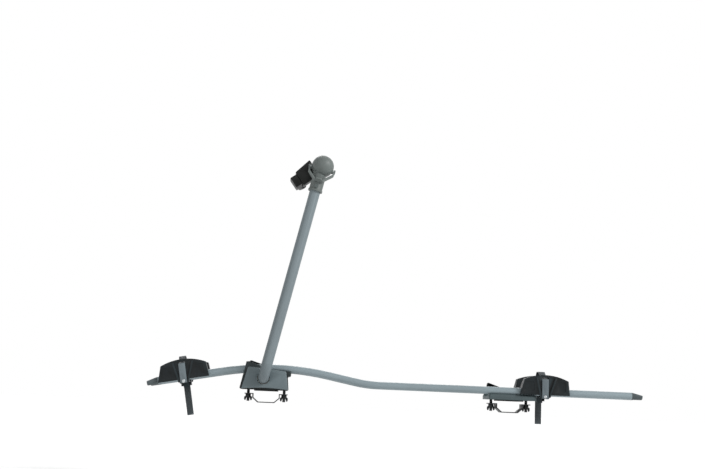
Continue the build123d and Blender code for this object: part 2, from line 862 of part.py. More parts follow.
def jaw_guide():
    """Black body beside the dome, with the fixed claw and the channel of the bar."""
    face = outline([
        (guide_front, guide_top_front), (guide_rear, guide_top_rear),
        (guide_rear, guide_low_rear), (guide_front, guide_low_front),
    ], guide_corner)
    body = side_plate(face, guide_near_y, guide_far_y)
    rim = body.faces().sort_by(Axis.Y)[0].edges()
    body = chamfer(rim, guide_corner / 2)
    body += block(guide_tail, guide_front + guide_corner * 2, guide_near_y, guide_far_y,
                  -guide_tail_half, guide_tail_half)
    body += claw(-1)
    root = block(-claw_outer, -claw_outer + claw_thickness * 3 / 2, guide_far_y - overrun,
                 -grip_radius / 2, -claw_half_width, claw_half_width)
    body += root - Pos(0, 0, -claw_half_width - overrun) * post(claw_inner, 0, claw_outer * 2)
    body -= block(guide_tail - overrun, guide_rear + overrun, bar_near_y - seat_gap,
                  bar_far_y + seat_gap, -bar_half - seat_gap, bar_half + seat_gap)
    for n in guide_screw_places:
        place = Pos(n, 0, guide_screw_t)
        body -= place * spindle(guide_screw_radius + seat_gap, guide_near_y - overrun, guide_far_y)
        body -= place * spindle(guide_screw_head_radius + seat_gap, bar_far_y, guide_far_y + overrun)
    body = grip_at * body
    shoe_hole = spindle(shoe_radius + running_gap, guide_near_y - overrun, bar_near_y + overrun)
    return body - Pos(cam_at, 0, lever_height) * shoe_hole


def outer_claw():
    """The sliding claw with its serrated bar."""
    body = claw(1)
    root_face = outline([
        (claw_root_front, claw_root_near_y), (claw_root_rear, claw_root_near_y),
        (claw_root_rear, -grip_radius), (claw_outer * cos(radians(claw_sweep_deg / 2)), 0),
        (claw_root_front, 0),
    ])
    root = extrude(Plane.XY.offset(-claw_half_width) * root_face, amount=2 * claw_half_width)
    corner = root.edges().filter_by(Axis.Z).sort_by(lambda e: e.center().X - e.center().Y)[-1]
    root = fillet(corner, claw_root_corner)
    body += root - Pos(0, 0, -claw_half_width - overrun) * post(claw_inner, 0, claw_outer * 2)
    body += block(bar_tail, claw_root_front + overrun, bar_near_y, bar_far_y, -bar_half, bar_half)
    count = int((claw_root_front - bar_tail) / serration_pitch) - 2
    for i in range(count):
        x = claw_root_front - serration_pitch * (i + 2)
        notch = outline([(x, bar_near_y - overrun), (x + serration_pitch / 2, bar_near_y - overrun),
                         (x + serration_pitch / 2, bar_near_y), (x, bar_near_y + serration_depth)])
        body -= extrude(Plane.XY.offset(-bar_half - overrun) * notch, amount=2 * (bar_half + overrun))
    return grip_at * body


def guide_screws():
    """Two screws that hold the guide to the far half."""
    screws = []
    for n in guide_screw_places:
        shank = spindle(guide_screw_radius, guide_near_y - guide_screw_depth + overrun, bar_far_y)
        head = spindle(guide_screw_head_radius, bar_far_y, bar_far_y + guide_screw_head_height)
        screws.append(arm_at * grip_at * Pos(n, 0, guide_screw_t) * (shank + head))
    return group(screws)


# Wheel trays, drawn round the rail's centre height at X = 0

def tray_outline(inset, low_z):
    """The side view of a tray: slanted ends under one long low arch."""
    front_x = -tray_half_length * tray_top_front_share + inset
    rear_x = tray_half_length * tray_top_rear_share - inset
    front_low = (-tray_half_length + inset, low_z)
    rear_low = (tray_half_length - inset, low_z)
    front_top = (front_x, tray_end_front_z - inset)
    rear_top = (rear_x, tray_end_rear_z - inset)
    crest = (0, tray_crest_z - inset)
    return make_face([
        Line(front_low, front_top),
        ThreePointArc(front_top, crest, rear_top),
        Line(rear_top, rear_low),
        Line(rear_low, front_low),
    ])


def trough(grow):
    """The space of the wheel, grown by a wall, along the whole tray."""
    reach = tray_half_length + overrun
    top_z = tray_crest_z + overrun
    floor_z = trough_floor_z - grow
    points = [
        (-trough_top_half - grow, top_z), (-trough_knee_half - grow, trough_knee_z),
        (-trough_floor_half - grow / 2, floor_z), (trough_floor_half + grow / 2, floor_z),
        (trough_knee_half + grow, trough_knee_z), (trough_top_half + grow, top_z),
    ]
    return end_plate(outline(points), -reach, reach)


strap_side_y = -tray_half_width - strap_gap


def wheel_tray():
    """Moulded tray: trough, two hollow flanks, clips, skirt panels, ribs and tongue."""
    body = side_plate(tray_outline(0.0, tray_low_z), -tray_half_width, tray_half_width)
    body -= trough(0.0)
    room = side_plate(tray_outline(tray_wall, tray_low_z - overrun),
                      -tray_half_width + tray_wall, tray_half_width - tray_wall)
    room -= trough(tray_wall)
    for share in clip_shares:
        middle = share * tray_half_length
        clip = block(middle - clip_thickness / 2, middle + clip_thickness / 2,
                     -tray_half_width, tray_half_width, clip_low_z, tray_crest_z)
        for side in (-1, 1):
            y = side * rail_half_spacing
            clip -= Pos(0, y, 0) * shaft(rail_radius + running_gap, -tray_half_length * 2,
                                         tray_half_length * 2)
            clip -= block(middle - clip_thickness, middle + clip_thickness, y - clip_mouth_half,
                          y + clip_mouth_half, clip_low_z - overrun, 0)
        room -= clip
    body -= room
    for side in (-1, 1):
        y = side * rail_half_spacing
        body -= Pos(0, y, 0) * shaft(rail_radius + running_gap, -tray_half_length * 2,
                                     tray_half_length * 2)
        for end in (-1, 1):
            middle = end * tray_half_length
            body -= block(middle - clip_thickness, middle + clip_thickness,
                          y - rail_radius - running_gap, y + rail_radius + running_gap,
                          tray_low_z - overrun, 0)
    outer_y = -tray_half_width
    for front, rear in ((-tray_half_length, rib_top_front), (rib_top_rear, tray_half_length)):
        panel = outline([
            (front + panel_border * 2 if front < 0 else front + panel_border, panel_low_z),
            (rear - panel_border if front < 0 else rear - panel_border * 2, panel_low_z),
            (rear - panel_border if front < 0 else rear - panel_border * 2, panel_top_z),
            (front + panel_border * 2 if front < 0 else front + panel_border, panel_top_z),
        ], panel_corner)
        body -= both_sides(side_plate(panel, outer_y - overrun, outer_y + panel_depth))
    tongue = outline([(-tongue_half, 0), (-tongue_half, tongue_low_z),
                      (tongue_half, tongue_low_z), (tongue_half, 0)], tongue_round)
    body += both_sides(side_plate(tongue, outer_y, outer_y + tray_wall))
    half = rib_width / 2
    for top_x, low_x in ((rib_top_front, -rib_low), (rib_top_rear, rib_low)):
        rib = outline([(top_x - half, rib_top_z), (low_x - half, tongue_low_z + tongue_round),
                       (low_x + half, tongue_low_z + tongue_round), (top_x + half, rib_top_z)])
        body += both_sides(side_plate(rib, outer_y - rib_proud, outer_y + tray_wall / 2))
    slot_half = strap_width / 2 + strap_gap
    body -= block(-slot_half, slot_half, outer_y - overrun, -trough_knee_half,
                  strap_slot_z - strap_slot_half, strap_slot_z + strap_slot_half)
    drop_low = strap_drop_y - strap_thickness / 2 - strap_gap
    drop_high = strap_drop_y + strap_thickness / 2 + strap_gap
    body -= block(-slot_half, slot_half, drop_low, drop_high, tray_low_z - overrun, tray_crest_z)
    body -= Pos(0, 0, rivet_z) * spindle(rivet_radius, outer_y - overrun, outer_y + tray_wall + overrun)
    return body


def wheel_strap(tail_z):
    """Moulded strap: up the near side, over the wheel, down through the floor to its tail."""
    half = strap_thickness / 2
    side_y = strap_side_y - half
    middle = FilletPolyline(
        (side_y, strap_start_z), (side_y, strap_slot_z - half), (strap_wall_y, strap_slot_z + half),
        (-strap_crest_half, strap_crest_z), (strap_crest_half, strap_crest_z),
        (strap_drop_y, strap_shoulder_z), (strap_drop_y, tail_z),
        radius=(strap_knee_bend, strap_bend, strap_bend, strap_bend, strap_bend))
    strap = end_plate(trace(middle, line_width=strap_thickness), -strap_width / 2, strap_width / 2)
    near_face = strap_drop_y - half
    count = int((tooth_start_z - tail_z) / tooth_pitch) - 1
    for i in range(count):
        z = tail_z + tooth_pitch * (i + 1)
        notch = outline([(near_face - overrun, z), (near_face - overrun, z + tooth_pitch * 3 / 4),
                         (near_face, z + tooth_pitch * 3 / 4), (near_face + tooth_depth, z)])
        strap -= end_plate(notch, -strap_width / 2 - overrun, strap_width / 2 + overrun)
    return strap - Pos(0, 0, rivet_z) * spindle(rivet_radius, side_y - strap_thickness,
                                                side_y + strap_thickness)


def strap_rivet():
    """Rivet that holds the strap's near end to the tongue."""
    outer_y = strap_side_y - strap_thickness
    inner_y = -tray_half_width + tray_wall
    rivet = spindle(rivet_radius, outer_y, inner_y)
    head = spindle(rivet_head_radius, outer_y - rivet_head_height, outer_y)
    rim = head.edges().filter_by(GeomType.CIRCLE).sort_by(Axis.Y)[0]
    head = fillet(rim, rivet_head_height * 3 / 4)
    tail = spindle(rivet_head_radius * 3 / 4, inner_y, inner_y + rivet_head_height)
    return Pos(0, 0, rivet_z) * (rivet + head + tail)


lock_top_z = trough_floor_z - tray_wall
lock_far_y = rail_half_spacing - rail_radius - seat_gap
lock_slot_y = strap_drop_y - strap_thickness / 2 - strap_gap


def strap_lock():
    """Housing under the tray's floor, round the strap's tail and the pawl."""
    body = block(-lock_half_length, lock_half_length, lock_near_y, lock_far_y - running_gap,
                 lock_low_z, lock_top_z)
    room_half = lock_half_length - lock_wall
    body -= block(-room_half, room_half, lock_near_y - overrun, lock_slot_y, lock_low_z - overrun,
                  lock_top_z - lock_wall)
    slot_half = strap_width / 2 + strap_gap
    body -= block(-slot_half, slot_half, lock_slot_y - overrun,
                  strap_drop_y + strap_thickness / 2 + strap_gap, lock_low_z - overrun,
                  lock_top_z + overrun)
    pin = shaft(lock_pin_radius, -lock_half_length - overrun, lock_half_length + overrun)
    return body - Pos(0, lock_pin_y, lock_pin_z) * pin


def pawl_pin():
    """Pin across the strap lock."""
    return Pos(0, lock_pin_y, lock_pin_z) * shaft(lock_pin_radius, -lock_half_length,
                                                   lock_half_length)


def strap_pawl():
    """Pawl with a nose that meets the strap's teeth and a finger tab below the housing."""
    reach = lock_slot_y - lock_pin_y - rest_gap
    nose = outline([(0, pawl_radius), (reach, pawl_tip_thickness / 2), (reach, 0),
                    (0, -pawl_radius / 2)])
    tab = outline([(-pawl_radius, 0), (-pawl_radius + pawl_tab_thickness, 0),
                   (-pawl_radius + pawl_tab_thickness, -pawl_tab_length),
                   (-pawl_radius, -pawl_tab_length)])
    body = shaft(pawl_radius, -pawl_half_length, pawl_half_length)
    body += end_plate(nose, -pawl_half_length, pawl_half_length)
    body += end_plate(tab, -pawl_half_length, pawl_half_length)
    body -= shaft(lock_pin_radius + running_gap, -lock_half_length, lock_half_length)
    return Pos(0, lock_pin_y, lock_pin_z) * body


# The whole carrier, by node

nodes = {}
nodes["rail_tube_near"] = rail_tube(-1)
nodes["rail_tube_far"] = rail_tube(1)
nodes.update(end_plugs())

nodes["base_housing"] = base_housing()
nodes["base_near_cover"] = base_near_cover()
nodes["base_far_cover"] = base_far_cover()
nodes["pivot_bush_near"] = bush()
nodes["pivot_bush_far"] = mirror(bush(), about=Plane.XZ)
nodes["base_tube_screws"] = group([
    tube_screw(x, side, housing_pocket_top_z, crest_z(x))
    for x in base_screw_xs for side in (-1, 1)])

nodes["rear_bracket"] = rear_bracket()
nodes["rear_far_cover"] = rear_far_cover()
nodes["rear_tube_screws"] = group([
    tube_screw(x, side, bracket_pocket_z, rail_level_z)
    for x in bracket_screw_xs for side in (-1, 1)])

crossbars = (
    ("front", 0.0, base_bolt_head_z, base_half_depth),
    ("rear", bar_spacing, bracket_channel_z - bolt_head_height, bracket_half_depth),
)
for name, x, head_z, half_depth in crossbars:
    nodes[f"{name}_seat_pad"] = Pos(x, 0, 0) * seat_pad(half_depth - pocket_wall)
    nodes[f"{name}_clamp_bolts"] = group([
        Pos(x + side * bolt_half_spacing, 0, 0) * carriage_bolt(head_z) for side in (-1, 1)])
    nodes[f"{name}_stirrup"] = Pos(x, 0, 0) * stirrup()
    for number, side in ((1, -1), (2, 1)):
        place = Pos(x + side * bolt_half_spacing, 0, 0)
        nodes[f"{name}_wing_nut_{number}"] = place * wing_nut()

nodes["arm_tube"] = arm_at * arm_tube()
nodes["axle_plug"] = arm_at * axle_plug()
nodes["axle_washer"] = arm_at * axle_washer()
nodes["axle_bolt"] = arm_at * axle_bolt()

near_half, far_half = head_halves()
nodes["head_half_near"] = arm_at * near_half
nodes["head_half_far"] = arm_at * far_half
nodes["arm_bolt"] = arm_at * arm_bolt()
nodes["clamp_lever"] = arm_at * clamp_lever()
nodes["lever_pin"] = arm_at * lever_pin()
nodes["clamp_shoe"] = arm_at * clamp_shoe()
nodes["jaw_guide"] = arm_at * jaw_guide()
nodes["inner_pad"] = arm_at * grip_at * claw_pad(-1)
nodes["outer_claw"] = arm_at * outer_claw()
nodes["outer_pad"] = arm_at * grip_at * claw_pad(1)
nodes["guide_screws"] = guide_screws()

trays = (
    ("front", Pos(tray_front_x, 0, front_slope_z(tray_front_x)) * Rot(0, -rail_rise_deg, 0),
     front_tail_z),
    ("rear", Pos(tray_rear_x, 0, rail_level_z), rear_tail_z),
)
for name, place, tail_z in trays:
    nodes[f"{name}_tray"] = place * wheel_tray()
    nodes[f"{name}_strap"] = place * wheel_strap(tail_z)
    nodes[f"{name}_strap_rivet"] = place * strap_rivet()
    nodes[f"{name}_strap_lock"] = place * strap_lock()
    nodes[f"{name}_strap_pawl"] = place * strap_pawl()
    nodes[f"{name}_pawl_pin"] = place * pawl_pin()

for name, solid in nodes.items():
    export_step(solid, f"parts/{name}.step")
print(len(nodes), "nodes")
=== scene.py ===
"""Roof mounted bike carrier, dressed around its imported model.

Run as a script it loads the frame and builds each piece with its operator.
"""
import json
import math

import bpy
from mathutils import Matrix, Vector


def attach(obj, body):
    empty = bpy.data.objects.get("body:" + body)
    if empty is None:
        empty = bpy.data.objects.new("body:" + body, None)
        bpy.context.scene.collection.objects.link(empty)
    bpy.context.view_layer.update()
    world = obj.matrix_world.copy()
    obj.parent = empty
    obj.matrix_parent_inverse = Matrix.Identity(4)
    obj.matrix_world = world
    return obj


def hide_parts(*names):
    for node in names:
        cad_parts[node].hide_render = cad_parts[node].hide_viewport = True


bl_info = {
    "name": "Roof Bike Carrier",
    "version": (1, 0, 0),
    "blender": (4, 5, 0),
    "location": "View3D > Sidebar > Carrier",
    "description": "Dresses the roof mounted bike carrier and its stage",
    "category": "Add Mesh",
}

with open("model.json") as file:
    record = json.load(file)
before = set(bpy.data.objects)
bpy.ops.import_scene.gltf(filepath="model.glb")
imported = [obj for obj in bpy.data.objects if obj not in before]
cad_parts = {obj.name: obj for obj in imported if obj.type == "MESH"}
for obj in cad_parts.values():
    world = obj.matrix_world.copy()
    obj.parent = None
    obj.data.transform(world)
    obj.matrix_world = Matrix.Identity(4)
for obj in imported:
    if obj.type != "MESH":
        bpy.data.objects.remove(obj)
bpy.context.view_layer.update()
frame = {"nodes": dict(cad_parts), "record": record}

MM = 0.001

# Mesh work
JOIN_DISTANCE = 0.002 * MM
FLAT_ANGLE = math.radians(0.6)
EDGE_ANGLE = math.radians(32)
EDGE_SEGMENTS = 2

# The wave texture's own period, at a scale of 1
WAVE_PERIOD = math.pi / 10

# Where the surfaces change, in metres
THREAD_PITCH = 1.25 * MM
RIB_PITCH = 3.0 * MM
# Between these the strap goes from its own tone on the near flank to a painted shade, nearly
# black.
STRAP_TAIL_Y = -46.0 * MM
STRAP_FLANK_Y = -56.0 * MM


# Colours and small helpers

def srgb(red, green, blue):
    """A colour from 0 to 255 as linear values."""
    linear = []
    for value in (red, green, blue):
        share = value / 255
        linear.append(share / 12.92 if share <= 0.04045 else ((share + 0.055) / 1.055) ** 2.4)
    return tuple(linear)


def slots():
    """The material slot of each CAD node."""
    return {row["node"]: row["material_slot"] for row in frame["record"]["subparts"]}


def bodies():
    """The body that carries each CAD node."""
    groups = frame["record"]["behaviour"]["bodies"]
    return {node: body for body, members in groups.items() for node in members}


def activate(piece):
    """Selects one object alone."""
    bpy.ops.object.select_all(action="DESELECT")
    piece.select_set(True)
    bpy.context.view_layer.objects.active = piece


def edit_all(piece):
    """Opens one object in edit mode with everything selected."""
    activate(piece)
    bpy.ops.object.mode_set(mode="EDIT")
    bpy.ops.mesh.select_all(action="SELECT")


def close_edit():
    """Leaves edit mode."""
    bpy.ops.object.mode_set(mode="OBJECT")


def dress(piece, material):
    """Gives a piece one material."""
    piece.data.materials.clear()
    piece.data.materials.append(material)


def settle(piece, body):
    """Makes a finished piece ride with its body."""
    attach(piece, body)


# Materials

class Finish:
    """A procedural material, with its nodes laid out from left to right."""

    def __init__(self, name):
        self.material = bpy.data.materials.new(name)
        self.material.use_nodes = True
        self.nodes = self.material.node_tree.nodes
        self.links = self.material.node_tree.links
        self.shader = self.nodes["Principled BSDF"]
        self.place = self.nodes.new("ShaderNodeTexCoord").outputs["Object"]

    def noise(self, scale, detail=3.0, stretch=None):
        """Noise on the object's own place, stretched where asked."""
        place = self.place
        if stretch:
            mapping = self.nodes.new("ShaderNodeMapping")
            mapping.inputs["Scale"].default_value = stretch
            self.links.new(place, mapping.inputs["Vector"])
            place = mapping.outputs["Vector"]
        texture = self.nodes.new("ShaderNodeTexNoise")
        texture.inputs["Scale"].default_value = scale
        texture.inputs["Detail"].default_value = detail
        self.links.new(place, texture.inputs["Vector"])
        return texture.outputs["Fac"]

    def ranged(self, value, low, high, start=0.35, end=0.65):
        """A value taken from one span to another."""
        span = self.nodes.new("ShaderNodeMapRange")
        limits = (("From Min", start), ("From Max", end), ("To Min", low), ("To Max", high))
        for name, number in limits:
            span.inputs[name].default_value = number
        self.links.new(value, span.inputs["Value"])
        return span.outputs["Result"]

    def mixed(self, share, first, second):
        """Two colours mixed by a share."""
        mix = self.nodes.new("ShaderNodeMix")
        mix.data_type = "RGBA"
        self.links.new(share, mix.inputs["Factor"])
        for socket, colour in ((mix.inputs["A"], first), (mix.inputs["B"], second)):
            if isinstance(colour, tuple):
                socket.default_value = (*colour, 1.0)
            else:
                self.links.new(colour, socket)
        return mix.outputs["Result"]

    def along(self, axis):
        """The surface's own place along one axis, in metres."""
        split = self.nodes.new("ShaderNodeSeparateXYZ")
        self.links.new(self.place, split.inputs["Vector"])
        return split.outputs[axis]

    def rings(self, axis, pitch):
        """Even bands across one axis, such as a thread or ribs."""
        wave = self.nodes.new("ShaderNodeTexWave")
        wave.wave_type = "BANDS"
        wave.bands_direction = axis
        wave.inputs["Scale"].default_value = WAVE_PERIOD / pitch
        self.links.new(self.place, wave.inputs["Vector"])
        return wave.outputs["Fac"]

    def edges(self, start, end):
        """Where the surface is a sharp outer edge, from 0 to 1."""
        point = self.nodes.new("ShaderNodeNewGeometry").outputs["Pointiness"]
        return self.ranged(point, 0.0, 1.0, start, end)

    def bump(self, height, distance, strength, under=None):
        """A bump laid over another one."""
        node = self.nodes.new("ShaderNodeBump")
        node.inputs["Strength"].default_value = strength
        node.inputs["Distance"].default_value = distance
        self.links.new(height, node.inputs["Height"])
        if under:
            self.links.new(under, node.inputs["Normal"])
        return node.outputs["Normal"]

    def finish(self, colour, roughness, normal):
        """Joins the colour, roughness and bump to the shader."""
        self.links.new(colour, self.shader.inputs["Base Color"])
        self.links.new(roughness, self.shader.inputs["Roughness"])
        self.links.new(normal, self.shader.inputs["Normal"])
        return self.material


def shifted(colour, factor):
    """A colour made darker or lighter."""
    return tuple(min(1.0, value * factor) for value in colour)


def moulded_plastic(name, colour):
    """Moulded plastic: fine grain, faint clouding and paler edges."""
    finish = Finish(name)
    clouds = finish.ranged(finish.noise(14.0, detail=4.0), low=0.0, high=1.0)
    base = finish.mixed(clouds, shifted(colour, 0.9), shifted(colour, 1.08))
    specks = finish.ranged(finish.noise(420.0, detail=2.0), low=0.0, high=0.35,
                           start=0.55, end=0.8)
    base = finish.mixed(specks, base, shifted(colour, 1.25))
    worn = finish.edges(start=0.53, end=0.62)
    base = finish.mixed(worn, base, shifted(colour, 1.35))
    rough = finish.ranged(finish.noise(60.0), low=0.44, high=0.58)
    grained = finish.bump(finish.noise(1400.0, detail=1.0), distance=0.05 * MM, strength=0.6)
    waved = finish.bump(finish.noise(35.0, detail=1.0), distance=0.15 * MM, strength=0.25,
                        under=grained)
    finish.shader.inputs["Specular IOR Level"].default_value = 0.4
    return finish.finish(base, rough, waved)


def black_plastic(name, colour):
    """Black nylon: glossy patches, dust in the lows and grey edges, partly wear from rubbing and
    partly a painted highlight.
    """
    finish = Finish(name)
    dust = finish.ranged(finish.noise(26.0, detail=6.0), low=0.0, high=1.0,
                         start=0.38, end=0.66)
    base = finish.mixed(dust, shifted(colour, 0.5), shifted(colour, 2.3))
    upright = (1.0, 1.0, 0.25)
    streaks = finish.ranged(finish.noise(70.0, stretch=upright), low=0.0, high=0.5,
                            start=0.55, end=0.75)
    base = finish.mixed(streaks, base, shifted(colour, 2.4))
    # Sharp edges made paler: partly wear from rubbing, partly a painted highlight along the
    # edges.
    wear_and_highlight = finish.edges(start=0.53, end=0.6)
    base = finish.mixed(wear_and_highlight, base, shifted(colour, 5.0))
    rough = finish.ranged(finish.noise(40.0, detail=4.0), low=0.3, high=0.62)
    grained = finish.bump(finish.noise(900.0, detail=2.0), distance=0.06 * MM, strength=0.6)
    waved = finish.bump(finish.noise(48.0, detail=2.0), distance=0.4 * MM, strength=0.35,
                        under=grained)
    finish.shader.inputs["Specular IOR Level"].default_value = 0.22
    return finish.finish(base, rough, waved)


def powder_coat(name, colour):
    """Powder coated steel: orange peel, dust in the lows and a soft sheen."""
    finish = Finish(name)
    clouds = finish.ranged(finish.noise(9.0, detail=5.0), low=0.0, high=1.0)
    base = finish.mixed(clouds, shifted(colour, 0.93), shifted(colour, 1.06))
    lengthwise = (0.2, 1.0, 1.0)
    streaks = finish.ranged(finish.noise(30.0, detail=4.0, stretch=lengthwise),
                            low=0.0, high=0.3, start=0.5, end=0.75)
    base = finish.mixed(streaks, base, shifted(colour, 0.86))
    flakes = finish.ranged(finish.noise(1500.0, detail=1.0), low=0.0, high=0.5,
                           start=0.6, end=0.75)
    base = finish.mixed(flakes, base, shifted(colour, 1.35))
    worn = finish.edges(start=0.54, end=0.64)
    base = finish.mixed(worn, base, shifted(colour, 1.3))
    rough = finish.ranged(finish.noise(45.0), low=0.34, high=0.48)
    peel = finish.bump(finish.noise(650.0, detail=1.0), distance=0.03 * MM, strength=0.5)
    finish.shader.inputs["Metallic"].default_value = 0.15
    finish.shader.inputs["Specular IOR Level"].default_value = 0.2
    return finish.finish(base, rough, peel)


def zinc(name, colour):
    """Zinc plated steel with a brushed, slightly stained surface."""
    finish = Finish(name)
    stains = finish.ranged(finish.noise(120.0, detail=5.0), low=0.0, high=1.0)
    base = finish.mixed(stains, shifted(colour, 0.8), shifted(colour, 1.1))
    brushing = finish.noise(300.0, stretch=(1.0, 1.0, 6.0))
    rough = finish.ranged(brushing, low=0.28, high=0.48)
    lines = finish.noise(900.0, detail=2.0, stretch=(1.0, 1.0, 8.0))
    brushed = finish.bump(lines, distance=0.02 * MM, strength=0.5)
    finish.shader.inputs["Metallic"].default_value = 0.9
    return finish.finish(base, rough, brushed)


def black_steel(name, colour, thread=0.0):
    """Blackened steel, with a thread where it is a bolt's."""
    finish = Finish(name)
    stains = finish.ranged(finish.noise(80.0, detail=5.0), low=0.0, high=1.0)
    base = finish.mixed(stains, shifted(colour, 0.7), shifted(colour, 1.5))
    worn = finish.edges(start=0.53, end=0.6)
    base = finish.mixed(worn, base, shifted(colour, 4.0))
    rough = finish.ranged(finish.noise(200.0), low=0.38, high=0.6)
    surface = finish.bump(finish.noise(500.0, detail=2.0), distance=0.03 * MM, strength=0.5)
    if thread:
        surface = finish.bump(finish.rings("Z", thread), distance=0.5 * MM, strength=0.7,
                              under=surface)
    finish.shader.inputs["Specular IOR Level"].default_value = 0.4
    return finish.finish(base, rough, surface)


def black_thread(name, colour):
    """The clamp bolts' blackened thread."""
    return black_steel(name, colour, THREAD_PITCH)


def rubber(name, colour, ribs=0.0):
    """Matt rubber with a powdery surface, ribbed where it grips."""
    finish = Finish(name)
    dust = finish.ranged(finish.noise(90.0, detail=5.0), low=0.0, high=1.0)
    base = finish.mixed(dust, shifted(colour, 0.8), shifted(colour, 1.35))
    rough = finish.ranged(finish.noise(200.0), low=0.75, high=0.92)
    surface = finish.bump(finish.noise(1100.0, detail=2.0), distance=0.05 * MM, strength=0.7)
    if ribs:
        surface = finish.bump(finish.rings("Y", ribs), distance=0.6 * MM, strength=0.6,
                              under=surface)
    finish.shader.inputs["Specular IOR Level"].default_value = 0.25
    return finish.finish(base, rough, surface)


def ribbed_rubber(name, colour):
    """The rubber of the claws, with ribs across the tube."""
    return rubber(name, colour, RIB_PITCH)


def strap_plastic(name, colour):
    """Flexible strap plastic: grey on the tray's flank and a painted shade, nearly black, towards
    its loose end.
    """
    finish = Finish(name)
    clouds = finish.ranged(finish.noise(30.0, detail=4.0), low=0.0, high=1.0)
    grey = finish.mixed(clouds, shifted(colour, 0.85), shifted(colour, 1.12))
    # A darker copy of the strap's own tone, as painted shade.
    shaded_tone = finish.mixed(clouds, shifted(colour, 0.2), shifted(colour, 0.34))
    # From the near flank inward the strap fades into the painted shade.
    unshaded_share = finish.ranged(finish.along("Y"), low=1.0, high=0.0,
                          start=STRAP_FLANK_Y, end=STRAP_TAIL_Y)
    base = finish.mixed(unshaded_share, shaded_tone, grey)
    worn = finish.edges(start=0.54, end=0.62)
    base = finish.mixed(worn, base, colour)
    rough = finish.ranged(finish.noise(80.0), low=0.42, high=0.6)
    grained = finish.bump(finish.noise(800.0, detail=2.0), distance=0.05 * MM, strength=0.6)
    finish.shader.inputs["Specular IOR Level"].default_value = 0.3
    return finish.finish(base, rough, grained)


# Each slot's finish, with its colour from 0 to 255
FINISHES = {
    "rail_paint": (powder_coat, (134, 147, 152)),
    "arm_paint": (powder_coat, (116, 126, 130)),
    "plug_plastic": (moulded_plastic, (74, 83, 86)),
    "housing_plastic": (black_plastic, (24, 29, 30)),
    "cover_plastic": (moulded_plastic, (98, 110, 114)),
    "dark_cover_plastic": (moulded_plastic, (52, 60, 62)),
    "rear_cover_plastic": (black_plastic, (12, 15, 17)),
    "bracket_plastic": (moulded_plastic, (68, 81, 84)),
    "bush_plastic": (moulded_plastic, (205, 205, 198)),
    "seat_rubber": (rubber, (22, 23, 24)),
    "zinc_steel": (zinc, (186, 190, 192)),
    "black_steel": (black_steel, (26, 28, 30)),
    "painted_steel": (powder_coat, (84, 91, 90)),
    "wing_nut_plastic": (black_plastic, (18, 20, 21)),
    "head_plastic": (moulded_plastic, (100, 107, 105)),
    "jaw_plastic": (black_plastic, (11, 13, 12)),
    "grip_rubber": (ribbed_rubber, (14, 14, 14)),
    "tray_plastic": (black_plastic, (13, 18, 20)),
    "strap_plastic": (strap_plastic, (104, 114, 119)),
    "pawl_plastic": (black_plastic, (16, 21, 23)),
}
THREADED = (black_thread, (24, 26, 28))
finishes_made = {}


def finish_of(slot):
    """The material of a slot, made once."""
    if slot not in finishes_made:
        maker, colour = FINISHES[slot]
        finishes_made[slot] = maker(slot, srgb(*colour))
    return finishes_made[slot]


# Pieces that stand for CAD nodes with softened edges

def merged_copy(node, name):
    """A copy of a CAD node with its corners joined and its flat faces whole."""
    mesh = frame["nodes"][node].data.copy()
    piece = bpy.data.objects.new(name, mesh)
    bpy.context.scene.collection.objects.link(piece)
    edit_all(piece)
    bpy.ops.mesh.remove_doubles(threshold=JOIN_DISTANCE)
    bpy.ops.mesh.dissolve_limited(angle_limit=FLAT_ANGLE)
    close_edit()
    return piece


def round_edges(piece, width):
    """Rounds a piece's edges and smooths its faces."""
    bevel = piece.modifiers.new("edges", "BEVEL")
    bevel.width = width
    bevel.segments = EDGE_SEGMENTS
    bevel.limit_method = "ANGLE"
    bevel.angle_limit = EDGE_ANGLE
    activate(piece)
    bpy.ops.object.modifier_apply(modifier=bevel.name)
    bpy.ops.object.shade_smooth_by_angle(angle=EDGE_ANGLE)


def finish_like(piece, node):
    """Gives a piece the finish and the body of a CAD node, the finish picked by the node's slot.
    """
    slot = slots()[node]
    dress(piece, finish_of(slot))
    settle(piece, bodies()[node])


def softened(node, width):
    """Stands for a CAD node with rounded edges and smooth faces."""
    piece = merged_copy(node, node + "_soft")
    round_edges(piece, width)
    finish_like(piece, node)
    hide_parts(node)
    return piece


def smooth_node(node):
    """Gives a CAD node that keeps its shape its finish."""
    dress(frame["nodes"][node], finish_of(slots()[node]))


# The piece that the solids lack, with its corners (X and Z) and its near face in millimetres

FIN_OUTLINE = ((-62.2, 56.0), (-58.0, 78.5), (-51.2, 79.3), (-17.0, 68.7), (-17.0, 56.0))
FIN_NEAR_Y = -53.9


def housing_fin(thickness, edge):
    """A raised fin on the housing's near wall, in front of the near tube."""
    bpy.ops.object.select_all(action="DESELECT")
    bpy.ops.mesh.primitive_circle_add(vertices=len(FIN_OUTLINE), fill_type="NGON")
    piece = bpy.context.active_object
    piece.name = "housing_fin"
    for vertex, (x, z) in zip(piece.data.vertices, FIN_OUTLINE):
        vertex.co = Vector((x, FIN_NEAR_Y, z)) * MM
    edit_all(piece)
    bpy.ops.mesh.extrude_region_move(TRANSFORM_OT_translate={"value": (0.0, thickness, 0.0)})
    bpy.ops.mesh.select_all(action="SELECT")
    bpy.ops.mesh.normals_make_consistent(inside=False)
    close_edit()
    round_edges(piece, edge)
    finish_like(piece, "base_housing")


# Sizes and colours that a user would change

class CarrierSizes(bpy.types.PropertyGroup):
    """Edge sizes of the moulded and pressed pieces."""
    moulded_edge: bpy.props.FloatProperty(
        name="Moulded edge", description="Rounding of the moulded pieces",
        default=0.8 * MM, unit="LENGTH")
    pressed_edge: bpy.props.FloatProperty(
        name="Pressed edge", description="Rounding of the pressed steel pieces",
        default=0.4 * MM, unit="LENGTH")
    fin_thickness: bpy.props.FloatProperty(
        name="Fin thickness", description="Thickness of the fin on the base's near wall",
        default=3.3 * MM, unit="LENGTH")


